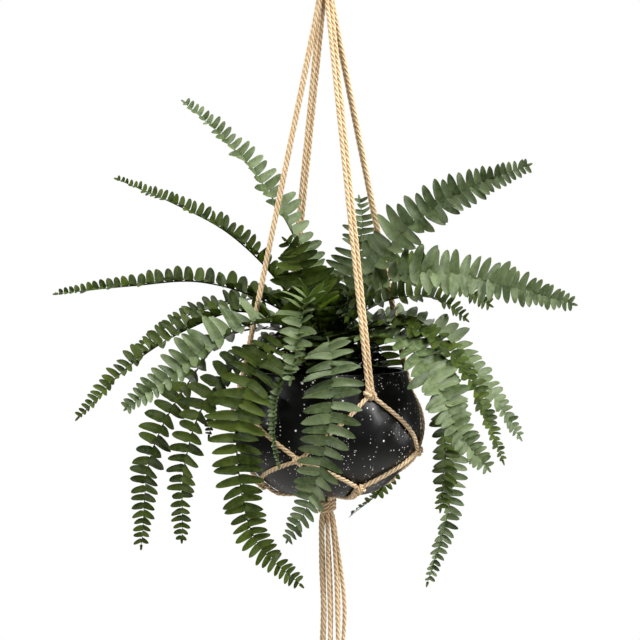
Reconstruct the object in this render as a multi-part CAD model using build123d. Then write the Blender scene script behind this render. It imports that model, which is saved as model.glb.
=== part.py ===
from build123d import *
import math
import os

os.makedirs("parts", exist_ok=True)

# Hanging macrame planter: a rope sling on a metal ring, a ceramic pot, and a fern in its grow pot.
# Millimetres, +Z up, -Y to the front. The origin is where a hook carries the ring.

cordD = 5.3
cordR = cordD / 2
touchGap = 0.4          # between a cord or a knot and the pot

ringWireR = 2.5
ringInnerR = 19.0
foldR = 6.9             # centreline radius of the two middle ropes' folds over the ring's wire
outerFoldR = 6.2        # and of the two outer ones
foldPitch = 6.1         # from one rope to the next along the ring
pairPitch = 5.5         # between the two cords of an arm
wrapTop = -56.0
wrapBottom = -84.0
wrapWall = 2.8
bundleR = 7.9           # eight cords stand in a circle of this radius inside a wrap

potX = 2.0
rimZ = -531.0
potHeight = 145.0
potWall = 5.0
potFloor = 7.0
potBaseR = 58.0

# Azimuths in degrees from the front towards the right, and heights under the rim.
arms = {"front": (27.5, -23), "right": (110, -20), "back": (210, -24), "left": (285, -20)}
sideKnots = {"front_right": (76, -93), "back_right": (158, -92), "back_left": (247, -92),
             "front_left": (343, -95)}
lowerZ = -131.0
knotWide, knotDeep = 12.0, 9.5
gatherZ = -163.0        # centre of the bottom knot, under the rim
gatherR = 11.6
tailStart = 12.6        # how far under that centre the tails begin

growRimZ, growFloorZ = -12.0, -137.7
growTopR, growBottomR, growWall = 76.0, 52.0, 1.6
soilZ = -28.0
crownR, crownTopZ = 22.0, 14.0
frondThick = 1.0
stemHalf = 1.4


def save(node, *solids):
    shape = solids[0] if len(solids) == 1 else Compound(children=list(solids))
    export_step(shape, f"parts/{node}.step")


def inRow(x, y, z):
    """A place given from the centre of the rim, in the row's frame."""
    return Vector(potX + x, y, rimZ + z)


def around(azimuth, radius, z):
    turn = math.radians(azimuth)
    return inRow(radius * math.sin(turn), -radius * math.cos(turn), z)


def cordTube(points, radii):
    path = FilletPolyline(*points, radius=radii)
    start = Plane(origin=path @ 0, z_dir=path % 0)
    tube = sweep(start * Circle(cordR), path=path)
    error = tube.volume / (math.pi * cordR**2 * path.length) - 1
    print(f"    length {path.length:.0f}, volume error {error:.4f}, radii", [round(r) for r in radii])
    return tube


def wideArcs(points):
    """For each corner the largest arc that its two runs allow."""
    radii = []
    for a, b, c in zip(points, points[1:], points[2:]):
        run = min((b - a).length, (c - b).length)
        radii.append(0.45 * run / math.tan(math.radians((b - a).get_angle(c - b) / 2)))
    return radii


# The pot: a spline profile turned about the axis.
outline = [(95, 0), (101, -20), (109.5, -42), (113, -70), (106, -97), (90, -119), (potBaseR + 3, -143.5),
           (potBaseR, -potHeight)]
outer = Spline(*outline)
wallSamples = [outer @ (i / 200) for i in range(201)]


def potRadius(z):
    for a, b in zip(wallSamples, wallSamples[1:]):
        if b.Y <= z <= a.Y:
            return a.X + (b.X - a.X) * (a.Y - z) / (a.Y - b.Y)
    return potBaseR


def onPot(azimuth, z, lift):
    """A place `lift` away from the pot's wall along its normal."""
    slope = (potRadius(z + 1) - potRadius(z - 1)) / 2
    normal = Vector(1, 0, -slope).normalized()
    return around(azimuth, potRadius(z) + lift * normal.X, z + lift * normal.Z)


def makePot():
    inner = [(x - potWall, max(z, -potHeight + potFloor)) for x, z in outline[:-2]]
    innerWall = Spline(*inner, (potBaseR - 4, -potHeight + potFloor))
    profile = make_face([
        outer,
        Line((potBaseR, -potHeight), (0, -potHeight)),
        Line((0, -potHeight), (0, -potHeight + potFloor)),
        Line((0, -potHeight + potFloor), (potBaseR - 4, -potHeight + potFloor)),
        innerWall,
        Line((outline[0][0] - potWall, 0), outline[0]),
    ])
    return Pos(potX, 0, rimZ) * revolve(Plane.XZ * profile, Axis.Z)


def makeRing():
    middle = ringInnerR + ringWireR
    return Pos(0, 0, -ringInnerR) * Rot(90, 0, 0) * Torus(middle, ringWireR)


def knotFrame(azimuth, z):
    """A frame on the pot: x along the wall, z away from it."""
    centre = onPot(azimuth, z, touchGap + knotDeep / 2)
    away = (centre - onPot(azimuth, z, 0)).normalized()
    turn = math.radians(azimuth)
    return Plane(origin=centre, x_dir=(math.cos(turn), math.sin(turn), 0), z_dir=away)


def makeKnot(azimuth, z):
    block = Box(knotWide, knotWide, knotDeep)
    return knotFrame(azimuth, z) * fillet(block.edges(), 3)


def inBundle(slot, z, axisX=0.0):
    turn = math.radians(slot)
    return Vector(axisX + bundleR * math.sin(turn), -bundleR * math.cos(turn), z)


# Each rope folds over the ring. Its front leg and its back leg go to these places in the wrap and to
# these arms, on this side of the arm's middle.
ropes = [
    (-1.5, (277, "left", -1), (232, "back", 1)),
    (-0.5, (320, "left", 1), (189, "back", -1)),
    (0.5, (9, "front", -1), (140, "right", 1)),
    (1.5, (52, "front", 1), (97, "right", -1)),
]


def makeRope(place, frontLeg, backLeg, knots):
    x = place * foldPitch
    fold = foldR if abs(place) < 1 else outerFoldR
    wireZ = -ringInnerR - math.sqrt((ringInnerR + ringWireR)**2 - x**2)

    def leg(slot, arm, side, depth):
        azimuth, z = arms[arm]
        hold = knotFrame(azimuth, z)
        return [
            hold.origin + hold.x_dir * side * pairPitch / 2,
            inBundle(slot, wrapBottom - 4),
            inBundle(slot, wrapTop + 1),
            Vector(x, depth, wireZ - 4),
            Vector(x, depth, wireZ + fold),
        ]

    points = leg(*frontLeg, -fold) + leg(*backLeg, fold)[::-1]
    radii = [30, 10, 10, fold - 0.1, fold - 0.1, 10, 10, 30]
    rope = cordTube(points, radii)
    for knot in (knots[frontLeg[1]], knots[backLeg[1]]):
        rope -= knot
    return rope


def makeWrap():
    wall = bundleR + cordR + 0.15
    middle = (wrapTop + wrapBottom) / 2
    height = wrapTop - wrapBottom
    return Pos(0, 0, middle) * (Cylinder(wall + wrapWall, height) - Cylinder(wall, height))


def alongPot(start, end, count):
    """Corner points of a taut cord over the pot, from one knot to the next."""
    (azimuthA, zA), (azimuthB, zB) = start, end
    lift = cordR + touchGap + 1.4
    points = []
    for i in range(count + 1):
        share = i / count
        points.append(onPot(azimuthA + (azimuthB - azimuthA) * share, zA + (zB - zA) * share, lift))
    return points


def makeNetCord(start, end, knots):
    points = alongPot(start, end, 4)
    cord = cordTube(points, wideArcs(points))
    for knot in knots:
        cord -= knot
    return cord


def makeBaseCord(azimuth, side, lowerKnot, gatherKnot):
    hold = knotFrame(azimuth, lowerZ)
    shift = hold.x_dir * side * pairPitch / 2
    points = [
        hold.origin + shift,
        around(azimuth, potBaseR + 7.5, -149.5) + shift,
        around(azimuth, bundleR, gatherZ + 6) + shift,
    ]
    return cordTube(points, wideArcs(points)) - lowerKnot - gatherKnot


def makeGatherKnot():
    knot = Sphere(gatherR) & Cylinder(gatherR, 17)
    return Pos(potX, 0, rimZ + gatherZ) * knot


# The tails hang from the bottom knot. Points are given from the centre of the rim.
tails = {
    "front_1": [(-4.5, -6, -175.5), (-6, -8, -205), (-5.5, -7, -240), (-2.5, -8, -285), (-4, -7, -330),
                (-7, -9, -375), (-8, -8, -404)],
    "front_2": [(1.2, -7.5, -175.5), (0.5, -9, -208), (1.5, -10, -243), (3.6, -8.5, -288), (3.4, -9.5, -335),
                (1.5, -8, -380), (2, -8.5, -412)],
    "front_3": [(6.5, -4, -175.5), (8.5, -6, -206), (11, -7.5, -241), (12.4, -6.5, -287), (13.4, -7.5, -332),
                (12, -6.5, -372), (12.4, -7, -398)],
    "front_4": [(7.5, 2, -175.5), (11.5, 1, -207), (16.5, -1, -238), (22, -2, -283), (20, -1, -328),
                (15.5, 0.5, -370), (17, 1.5, -409)],
    "back_1": [(-7.4, -0.4, -175.5), (-7.2, 0.5, -206), (-7, 1.5, -242), (-4.6, 0.4, -286), (-6.2, 1, -331),
               (-9.4, 0.5, -371), (-10.5, 1.5, -401)],
    "back_2": [(-5.4, 5.2, -175.5), (-5.5, 7, -207), (-4, 8.5, -240), (-3, 7, -287), (-5, 8, -333),
               (-4, 9.5, -377), (-5, 9, -407)],
    "back_3": [(-0.2, 7.6, -175.5), (1.5, 9.5, -205), (4, 10, -242), (5.5, 9, -289), (4.5, 11, -334),
               (6.5, 10, -374), (7, 11, -403)],
    "back_4": [(5.4, 6.8, -175.5), (8.4, 8, -208), (12.5, 8, -240), (14.5, 9, -284), (13.5, 8, -330),
               (16, 9.5, -376), (15.5, 9, -411)],
}


def makeTail(points):
    points = [inRow(*p) for p in points]
    return cordTube(points, wideArcs(points))


# Fronds: half width, how far the blade turns to the front, and places from the centre of the rim.
fronds = {
    "frond_top_left": [(22, 0.6, [(-10, 0, 50), (-35, 10, 150), (-75, 25, 220), (-130, 40, 285),
                                  (-175, 50, 325)])],
    "frond_left_high": [(18, 0.6, [(-12, 4, 42), (-50, 8, 95), (-80, 10, 130), (-120, 15, 165),
                                   (-185, 20, 200), (-255, 35, 230)])],
    "frond_left_long": [(22, 0.6, [(-14, 12, 30), (-45, 22, 64), (-90, 32, 88), (-155, 40, 105),
                                   (-240, 50, 100), (-335, 65, 90)])],
    "frond_left_arch": [(22, 0.6, [(-20, 0, 30), (-60, 6, 58), (-105, 8, 70), (-165, 0, 50),
                                   (-230, -18, 10), (-295, -30, -55)])],
    "frond_left_pale": [(30, 0.7, [(-18, -12, 28), (-50, -38, 55), (-86, -64, 58), (-130, -76, 36),
                                   (-180, -84, -2), (-230, -92, -38)])],
    "frond_left_drop": [(24, 0.8, [(-20, 10, 25), (-65, 20, 48), (-115, 22, 42), (-170, 15, -20),
                                   (-210, 10, -95), (-225, 10, -215)])],
    "frond_left_hang": [(22, 0.7, [(-18, -10, 18), (-50, -32, 30), (-88, -54, 22), (-140, -60, -30),
                                   (-165, -62, -100), (-170, -60, -195)])],
    "frond_front_left": [(28, 0.5, [(-10, -16, 18), (-42, -58, 34), (-74, -88, 16), (-100, -106, -40),
                                    (-100, -112, -115), (-80, -110, -190), (-30, -104, -240)])],
    "frond_front": [(30, 0.2, [(0, -14, 25), (0, -60, 42), (5, -108, 16), (5, -134, -40), (-5, -138, -90),
                               (-25, -132, -150), (-45, -122, -185)])],
    "frond_top_back": [(26, 0.6, [(6, 8, 40), (22, 34, 90), (38, 54, 140), (44, 62, 180), (40, 64, 208)])],
    "frond_top_right": [(22, 0.6, [(12, 0, 44), (35, -2, 90), (70, -4, 140), (115, -6, 185), (175, -10, 220),
                                   (240, -10, 245)])],
    "frond_right_long": [(22, 0.6, [(16, -4, 34), (45, -12, 80), (82, -22, 112), (145, -30, 115),
                                    (220, -36, 100), (290, -40, 80)])],
    "frond_right_arch": [(22, 0.6, [(16, 0, 26), (50, -8, 54), (88, -16, 62), (140, -16, 44), (180, -20, -5),
                                    (230, -20, -80)])],
    "frond_right_pale": [(30, 0.7, [(14, -12, 20), (55, -46, 40), (95, -72, 30), (125, -84, -10),
                                    (150, -92, -65), (185, -92, -108)])],
    "frond_right_hang": [(28, 0.7, [(18, 4, 22), (60, 0, 44), (102, -6, 34), (130, -14, -15), (140, -20, -85),
                                    (135, -22, -165)])],
    "frond_right_trail": [(22, 0.8, [(14, 12, 26), (55, 52, 52), (105, 72, 52), (145, 77, -5), (155, 72, -90),
                                     (150, 66, -180), (125, 60, -270)])],
    "small_fronds_left": [
        (16, 0.5, [(-16, 16, 34), (-70, 44, 84), (-130, 52, 76), (-175, 50, 62), (-235, 50, 22)]),
        (14, 0.7, [(-18, 12, 22), (-64, 30, 36), (-104, 40, 14), (-133, 46, -25), (-145, 46, -85)]),
    ],
    "small_fronds_right": [
        (18, 0.5, [(10, 18, 40), (45, 52, 85), (90, 66, 112), (140, 80, 112), (205, 88, 75)]),
        (16, 0.5, [(18, -8, 26), (62, -36, 54), (112, -46, 46), (160, -54, 2), (185, -58, -52),
                   (205, -62, -103)]),
        (13, 0.4, [(14, 8, 36), (48, 6, 72), (95, 2, 88), (135, 6, 84), (168, 10, 60)]),
    ],
    "small_fronds_front": [
        (22, 0.3, [(-6, -12, 34), (-14, -36, 78), (-25, -62, 82), (-32, -94, 44), (-42, -118, -6)]),
        (10, 0.2, [(-10, -18, 18), (-28, -62, 14), (-45, -93, 2), (-58, -108, -28), (-60, -119, -66),
                   (-55, -119, -100)]),
    ],
    "small_fronds_centre": [
        (18, 0.5, [(-8, -6, 44), (-22, -18, 84), (-30, -27, 114), (-36, -33, 142), (-50, -35, 156)]),
        (12, 0.5, [(6, -8, 40), (18, -24, 72), (34, -36, 80)]),
        (12, 0.5, [(3, 4, 46), (6, 14, 92), (14, 22, 112)]),
        (12, 0.5, [(-5, 8, 42), (-16, 28, 78), (-36, 40, 92)]),
    ],
    "small_fronds_back": [
        (22, 0.3, [(4, 20, 28), (28, 76, 45), (58, 126, 25), (88, 146, -75), (70, 144, -165),
                   (32, 134, -196)]),
        (24, 0.2, [(-2, 20, 28), (-8, 84, 46), (-14, 134, 16), (-18, 152, -60), (-20, 150, -130)]),
        (18, 0.2, [(-12, 14, 24), (-46, 42, 40), (-84, 74, 12), (-104, 92, -50), (-106, 92, -105)]),
    ],
}


def throughPoints(points):
    """The points and, between each two, the middle of a Catmull-Rom span."""
    ends = [points[0] * 2 - points[1]] + points + [points[-1] * 2 - points[-2]]
    stations = []
    for a, b, c, d in zip(ends, ends[1:], ends[2:], ends[3:]):
        stations += [b, (b + c) * 0.5625 - (a + d) * 0.0625]
    return stations + [points[-1]]


def makeFrond(halfWidth, turn, places):
    foot = Vector(potX + places[0][0] * 0.7, places[0][1] * 0.7, rimZ + crownTopZ - 1.5)
    stations = throughPoints([foot] + [inRow(*p) for p in places])
    reach = stations[-1] - stations[0]
    outward = Vector(reach.X, reach.Y, 0).normalized()
    last = len(stations) - 1
    rings = []
    for i, middle in enumerate(stations):
        along = (stations[min(i + 1, last)] - stations[max(i - 1, 0)]).normalized()
        share = i / last
        upper = Vector(0, 0, 1) + outward * 1.5 * max(0, -along.Z)
        upper = (upper - along * upper.dot(along)).normalized()
        front = Vector(0, -1, 0)
        front = front - along * front.dot(along)
        face = (upper * (1 - turn * share) + front * turn * share).normalized()
        side = along.cross(face)
        opened = min(1, max(0, (share - 0.2) / 0.8))
        half = stemHalf + (halfWidth - stemHalf) * math.sin(math.pi * opened**0.75)
        rings.append([middle + side * half, middle + face * frondThick, middle - side * half,
                      middle - face * frondThick])
    a, b, c, d = rings[0]
    e, f, g, h = rings[-1]
    faces = [triangle(a, b, c), triangle(c, d, a), triangle(g, f, e), triangle(e, h, g)]
    for near, far in zip(rings, rings[1:]):
        for edge in (0, 2):
            for spine in (1, 3):
                faces += [triangle(near[edge], far[edge], far[spine]),
                          triangle(near[edge], far[spine], near[spine])]
    solid = Solid(Shell(faces))
    return solid if solid.volume > 0 else Solid(Shell([-f for f in faces]))


def triangle(a, b, c):
    return Face(Wire(Polyline(a, b, c, close=True).edges()))


def makeGrowPot():
    outside = [(0, growFloorZ), (growBottomR, growFloorZ), (growTopR, growRimZ - 8), (growTopR + 4, growRimZ - 8),
               (growTopR + 4, growRimZ), (growTopR - growWall, growRimZ),
               (growBottomR - growWall, growFloorZ + growWall), (0, growFloorZ + growWall)]
    profile = make_face(Polyline(*outside, close=True).edges())
    return Pos(potX, 0, rimZ) * revolve(Plane.XZ * profile, Axis.Z)


def makeSoil():
    floor = growFloorZ + growWall + 0.1
    slope = (growTopR - growBottomR) / (growRimZ - growFloorZ)
    bottomR = growBottomR - growWall - 0.3
    topR = bottomR + slope * (soilZ - floor)
    return Pos(potX, 0, rimZ + (floor + soilZ) / 2) * Cone(bottomR, topR, soilZ - floor)


def makeCrown():
    height = crownTopZ - soilZ
    return Pos(potX, 0, rimZ + soilZ + height / 2) * fillet(Cylinder(crownR, height).edges(), 6)


print("ring and wrap")
save("hanging_ring", makeRing())
save("top_wrap", makeWrap())

print("knots")
shoulder = {arm: makeKnot(*place) for arm, place in arms.items()}
side = {corner: makeKnot(*place) for corner, place in sideKnots.items()}
lower = {arm: makeKnot(azimuth, lowerZ) for arm, (azimuth, _) in arms.items()}
gather = makeGatherKnot()
for arm in arms:
    save(f"{arm}_shoulder_knot", shoulder[arm])
    save(f"{arm}_lower_knot", lower[arm])
for corner in sideKnots:
    save(f"{corner}_side_knot", side[corner])
save("bottom_knot", gather)

print("ropes over the ring")
for number, (place, frontLeg, backLeg) in enumerate(ropes, 1):
    save(f"arm_rope_{number}", makeRope(place, frontLeg, backLeg, shoulder))

print("net")
neighbours = {"front": ("front_left", "front_right"), "right": ("front_right", "back_right"),
              "back": ("back_right", "back_left"), "left": ("back_left", "front_left")}
for arm, corners in neighbours.items():
    azimuth, z = arms[arm]
    upperCords, lowerCords = [], []
    for sideSign, corner in zip((-1, 1), corners):
        cornerAzimuth, cornerZ = sideKnots[corner]
        if cornerAzimuth - azimuth > 180:
            cornerAzimuth -= 360
        end = (cornerAzimuth, cornerZ)
        upperCords.append(makeNetCord((azimuth, z), end, [shoulder[arm], side[corner]]))
        lowerCords.append(makeNetCord((azimuth, lowerZ), end, [lower[arm], side[corner]]))
        lowerCords.append(makeBaseCord(azimuth, sideSign, lower[arm], gather))
    save(f"{arm}_upper_net", *upperCords)
    save(f"{arm}_lower_net", *lowerCords)

print("tails")
for name, points in tails.items():
    save(f"tail_{name}", makeTail(points))

print("pot and grow pot")
save("pot", makePot())
save("grow_pot", makeGrowPot())
save("soil", makeSoil())
save("fern_crown", makeCrown())

print("fronds")
for node, members in fronds.items():
    save(node, *[makeFrond(*member) for member in members])
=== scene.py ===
import bpy
import math
import numpy as np
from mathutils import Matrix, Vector


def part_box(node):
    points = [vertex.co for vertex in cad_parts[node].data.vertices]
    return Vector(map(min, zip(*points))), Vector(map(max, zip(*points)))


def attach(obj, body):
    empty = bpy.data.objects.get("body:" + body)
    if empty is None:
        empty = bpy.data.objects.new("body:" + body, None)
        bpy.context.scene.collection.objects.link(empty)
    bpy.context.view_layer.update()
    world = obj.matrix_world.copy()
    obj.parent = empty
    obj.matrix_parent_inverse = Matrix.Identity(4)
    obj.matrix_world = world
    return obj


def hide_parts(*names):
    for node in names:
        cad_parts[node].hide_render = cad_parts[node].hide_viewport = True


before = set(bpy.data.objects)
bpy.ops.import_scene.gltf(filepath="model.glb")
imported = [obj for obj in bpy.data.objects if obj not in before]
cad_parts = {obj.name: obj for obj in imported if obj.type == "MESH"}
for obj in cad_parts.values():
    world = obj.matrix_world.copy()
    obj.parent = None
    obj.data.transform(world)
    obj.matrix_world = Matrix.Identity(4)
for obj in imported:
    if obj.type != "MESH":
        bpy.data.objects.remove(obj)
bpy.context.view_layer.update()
rng = np.random.default_rng(11)

# Metres, in the row's frame. Lengths written with mm are millimetres.
mm = 0.001
cordR = 2.65 * mm
lay = 21 * mm
rim = np.array([0.002, 0.0, -0.531])


def tone(red, green, blue):
    # A colour given as 0 to 255 on a screen, as the shader wants it.
    levels = [((c / 255 + 0.055) / 1.055)**2.4 if c > 10 else c / 3300 for c in (red, green, blue)]
    return (*levels, 1.0)


def unit(vectors):
    return vectors / np.linalg.norm(vectors, axis=-1, keepdims=True)


# A part of a piece is its points, its sets of faces, their places in the UV map, and its attributes.

def ringFaces(count, sides):
    # Quads between each ring of points and the next, and one face that closes each end.
    row, place = np.meshgrid(np.arange(count - 1), np.arange(sides), indexing="ij")
    after = (place + 1) % sides
    quads = np.stack([row * sides + place, row * sides + after, (row + 1) * sides + after,
                      (row + 1) * sides + place], axis=-1).reshape(-1, 4)
    return quads, np.array([np.arange(sides)[::-1], np.arange(sides) + (count - 1) * sides])


def wrapPart(rings, uvRound, uvAlong, **attributes):
    # Rings of points, one after another along a tube. The UV map is (way round, way along).
    count, sides = rings.shape[:2]
    quads, ends = ringFaces(count, sides)
    grid = np.stack(np.meshgrid(uvRound, uvAlong), axis=-1)
    corners = np.stack([grid[:-1, :-1], grid[:-1, 1:], grid[1:, 1:], grid[1:, :-1]], axis=2).reshape(-1, 4, 2)
    return (rings.reshape(-1, 3), [quads, ends], [corners, np.zeros((2, sides, 2))],
            {key: np.broadcast_to(value, (count, sides)).ravel() for key, value in attributes.items()})


def makePiece(name, parts, material, body, slot, *nodes, sharp=None):
    # One mesh from the parts. Edges steeper than sharp degrees are left hard.
    points = np.concatenate([part[0] for part in parts])
    faces, corners, start = [], [], 0
    for part in parts:
        for faceSet, uvSet in zip(part[1], part[2]):
            faces += (faceSet + start).tolist()
            corners.append(uvSet.reshape(-1, 2))
        start += len(part[0])
    mesh = bpy.data.meshes.new(name)
    mesh.from_pydata(points.tolist(), [], faces)
    uv = mesh.uv_layers.new(name="UVMap")
    uv.data.foreach_set("uv", np.concatenate(corners).ravel().astype(np.float32))
    for key in parts[0][3]:
        values = np.concatenate([part[3][key] for part in parts]).astype(np.float32)
        mesh.attributes.new(key, "FLOAT", "POINT").data.foreach_set("value", values)
    mesh.shade_smooth()
    if sharp:
        mesh.set_sharp_from_angle(angle=math.radians(sharp))
    mesh.materials.append(material)
    piece = bpy.data.objects.new(name, mesh)
    bpy.context.scene.collection.objects.link(piece)
    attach(piece, body)
    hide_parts(*nodes)
    return piece


def readRoute(points, step):
    # The smooth line of a route's NURBS spline, read at even steps.
    curve = bpy.data.curves.new("route", "CURVE")
    curve.dimensions = "3D"
    spline = curve.splines.new("NURBS")
    spline.points.add(len(points) - 1)
    for place, point in zip(spline.points, points):
        place.co = (*point, 1.0)
    spline.order_u = 3
    spline.use_endpoint_u = True
    spline.resolution_u = 24
    holder = bpy.data.objects.new("route", curve)
    drawn = bpy.data.meshes.new_from_object(holder)
    line = np.empty(len(drawn.vertices) * 3)
    drawn.vertices.foreach_get("co", line)
    line = line.reshape(-1, 3)
    bpy.data.objects.remove(holder)
    bpy.data.curves.remove(curve)
    bpy.data.meshes.remove(drawn)
    return evenLine(line, step)


def evenLine(line, step):
    # The same line with its points at even distances along it.
    gone = np.r_[0, np.cumsum(np.linalg.norm(np.diff(line, axis=0), axis=1))]
    keep = np.r_[True, np.diff(gone) > 1e-9]
    places = np.linspace(0, gone[-1], max(4, round(gone[-1] / step) + 1))
    return np.stack([np.interp(places, gone[keep], line[keep, axis]) for axis in range(3)], axis=1)


def carryFrames(line):
    # Directions along, beside and above the line, carried along it with no twist of their own.
    along = unit(np.gradient(line, axis=0))
    side = unit(np.cross(along[0], [0.31, 0.9, 0.17]))  # no cord starts out in this direction
    sides = [side]
    for direction in along[1:]:
        side = unit(side - direction * side.dot(direction))
        sides.append(side)
    sides = np.array(sides)
    return along, sides, np.cross(along, sides)


def laidRope(line, radius=cordR, turnLength=lay, finish=0, startTurn=0.0):
    # Three strands laid together: the outline of three circles, turning as it goes along the line.
    # Over its last points, as many as finish says, the rope gets thinner.
    along, side, up = carryFrames(line)
    gone = np.r_[0, np.cumsum(np.linalg.norm(np.diff(line, axis=0), axis=1))]
    strandOut, strandR = 0.42, 0.58  # as shares of the rope's radius
    offsets = np.radians([-60, -46, -24, 0, 24, 46])
    outline = strandOut * np.cos(offsets) + np.sqrt(strandR**2 - (strandOut * np.sin(offsets))**2)
    place = np.concatenate([offsets + np.radians(120) * strand for strand in range(3)])
    angle = place[None] - (2 * math.pi * gone / turnLength)[:, None] + startTurn
    size = radius * np.tile(outline, 3)[None] * (1 + 0.022 * rng.standard_normal((len(line), 18)))
    uneven = 1 + 0.02 * np.sin(gone / (21 * mm) + startTurn) + 0.015 * np.sin(gone / (8.7 * mm))
    size = size * uneven[:, None]
    if finish:
        size[-finish:] *= np.linspace(1, 0.72, finish)[:, None]
    rings = line[:, None] + size[..., None] * (np.cos(angle)[..., None] * side[:, None]
                                               + np.sin(angle)[..., None] * up[:, None])
    # How far each point lies in the crease between strands, where the jute material puts painted shade.
    crevice = np.tile([1.0, 0.42, 0.06, 0.0, 0.06, 0.42], 3)
    return wrapPart(rings, np.arange(19) / 6, gone / radius / 2, crevice=crevice[None])


def addNode(tree, kind, values=None, **settings):
    # A value that is another node's socket is linked, and any other value is set.
    made = tree.nodes.new("ShaderNode" + kind)
    for key, value in settings.items():
        setattr(made, key, value)
    for key, value in (values or {}).items():
        if isinstance(value, bpy.types.NodeSocket):
            tree.links.new(value, made.inputs[key])
        else:
            made.inputs[key].default_value = value
    return made


def newMaterial(name, **sockets):
    material = bpy.data.materials.new(name)
    material.use_nodes = True
    shader = material.node_tree.nodes["Principled BSDF"]
    for key, value in sockets.items():
        shader.inputs[key.replace("_", " ")].default_value = value
    return material, material.node_tree, shader


def maths(tree, operation, *values):
    return addNode(tree, "Math", dict(enumerate(values)), operation=operation).outputs[0]


def mixed(tree, factor, first, second):
    return addNode(tree, "Mix", {0: factor, 6: first, 7: second}, data_type="RGBA").outputs[2]


def ramp(tree, value, *stops):
    # Grey levels at places from 0 to 1.
    made = addNode(tree, "ValToRGB", {0: value})
    points = made.color_ramp.elements
    points[0].position, points[0].color = stops[0][0], (stops[0][1],) * 3 + (1,)
    points[1].position, points[1].color = stops[-1][0], (stops[-1][1],) * 3 + (1,)
    for place, level in stops[1:-1]:
        points.new(place).color = (level,) * 3 + (1,)
    return made.outputs[0]


def attribute(tree, name):
    return addNode(tree, "Attribute", attribute_name=name).outputs["Fac"]


def objectPlace(tree):
    return addNode(tree, "TexCoord").outputs["Object"]


def stretched(tree, source, scale):
    return addNode(tree, "Mapping", {"Vector": source, "Scale": scale}).outputs[0]


def noise(tree, place, scale, detail=3.0, roughness=0.6):
    return addNode(tree, "TexNoise", {"Vector": place, "Scale": scale, "Detail": detail,
                                      "Roughness": roughness}).outputs["Fac"]


def bump(tree, shader, height, distance, strength=1.0):
    made = addNode(tree, "Bump", {"Height": height, "Distance": distance, "Strength": strength})
    tree.links.new(made.outputs[0], shader.inputs["Normal"])


def juteMaterial():
    # Fibres along the strands, slow patches, pale hairs, and painted shade in the creases between the
    # strands.
    material, tree, shader = newMaterial("jute", Roughness=0.88, Specular_IOR_Level=0.25, Sheen_Weight=0.35,
                                         Sheen_Roughness=0.6)
    uv = addNode(tree, "TexCoord").outputs["UV"]
    place = objectPlace(tree)
    fibres = noise(tree, stretched(tree, uv, (9, 1.6, 1)), 1.0, 4.0, 0.75)
    patches = noise(tree, place, 60.0, 3.0)
    hairs = noise(tree, stretched(tree, place, (900, 900, 260)), 1.0, 2.0)
    colour = mixed(tree, ramp(tree, fibres, (0.3, 0), (0.7, 1)), tone(204, 166, 110), tone(242, 216, 170))
    colour = mixed(tree, ramp(tree, patches, (0.35, 0), (0.75, 0.55)), colour, tone(198, 160, 110))
    colour = mixed(tree, ramp(tree, hairs, (0.42, 0.0), (0.62, 0.5)), colour, tone(240, 222, 188))
    # Painted shade: the creases between the strands are darkened to a deep brown.
    between = ramp(tree, attribute(tree, "crevice"), (0.08, 0), (0.9, 0.92))
    colour = mixed(tree, between, colour, tone(104, 62, 26))
    tree.links.new(colour, shader.inputs["Base Color"])
    bump(tree, shader, fibres, 0.5 * mm, 0.8)
    return material


def potMaterial():
    # A black glaze, slowly uneven in gloss, with white specks.
    material, tree, shader = newMaterial("speckled_glaze", Specular_IOR_Level=0.26)
    place = objectPlace(tree)
    slow = noise(tree, place, 14.0, 2.0)
    fine = noise(tree, place, 700.0, 2.0)
    # Specks: one dot in a cell, of three sizes, kept only where a slow noise gathers them into clusters.
    specks = None
    for scale, size, seed in ((150.0, 0.16, 0.0), (290.0, 0.2, 5.3), (420.0, 0.24, 9.1)):
        shift = (seed, seed * 0.7, seed * 1.3)
        moved = addNode(tree, "Mapping", {"Vector": place, "Location": shift}).outputs[0]
        cells = addNode(tree, "TexVoronoi", {"Vector": moved, "Scale": scale})
        near = ramp(tree, cells.outputs["Distance"], (size, 1), (size + 0.06, 0))
        chance = addNode(tree, "SeparateColor", {0: cells.outputs["Color"]}).outputs[0]
        picked = maths(tree, "GREATER_THAN", chance, 0.8)
        gathered = ramp(tree, noise(tree, moved, 38.0, 2.0), (0.5, 0), (0.57, 1))
        one = maths(tree, "MULTIPLY", maths(tree, "MULTIPLY", near, picked), gathered)
        specks = one if specks is None else maths(tree, "MAXIMUM", specks, one)
    black = mixed(tree, slow, tone(3, 3, 3), tone(6, 6, 6))
    colour = mixed(tree, specks, black, tone(246, 244, 238))
    tree.links.new(colour, shader.inputs["Base Color"])
    gloss = ramp(tree, slow, (0.3, 0.28), (0.7, 0.37))
    tree.links.new(gloss, shader.inputs["Roughness"])
    bump(tree, shader, fine, 0.08 * mm, 0.5)
    return material


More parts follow.
